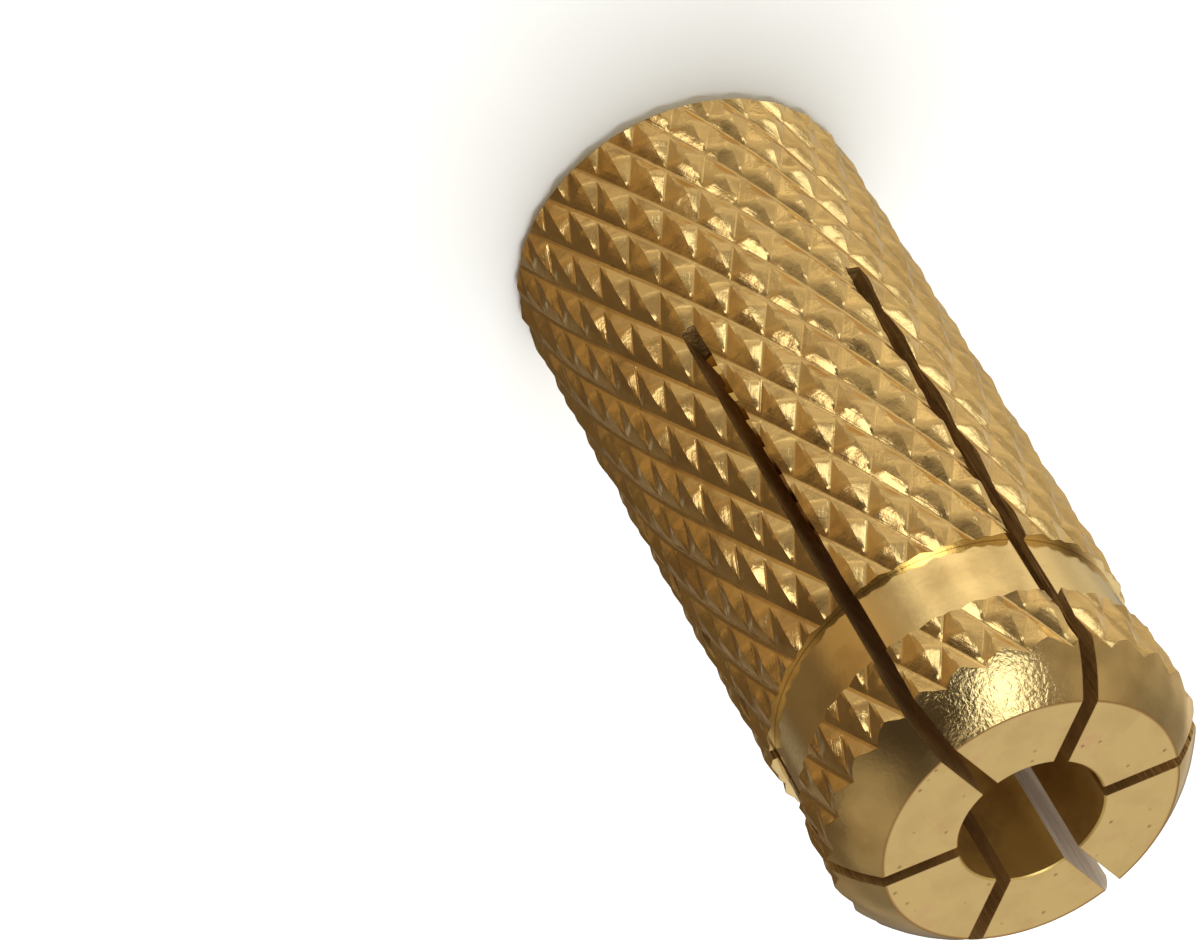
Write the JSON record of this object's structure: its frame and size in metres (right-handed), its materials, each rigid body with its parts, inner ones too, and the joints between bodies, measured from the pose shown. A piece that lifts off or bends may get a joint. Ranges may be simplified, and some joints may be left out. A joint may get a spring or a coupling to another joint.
{
  "type": "expansion anchor",
  "caption": "Knurled brass drop-in anchor for an M12 bolt, countersunk at its mouth, with a ring groove and a sawn, springing nose.",
  "frame": {"origin": "middle of the mouth face, on which the anchor stands", "axes": "+Z along the bolt bore, from the mouth to the sawn nose"},
  "size_m": [0.015, 0.015, 0.035],
  "materials": {
    "brass": "bright turned and knurled brass, lightly tarnished"
  },
  "bodies": {
    "root": {"anchor_body": "brass"}
  },
  "joints": []
}
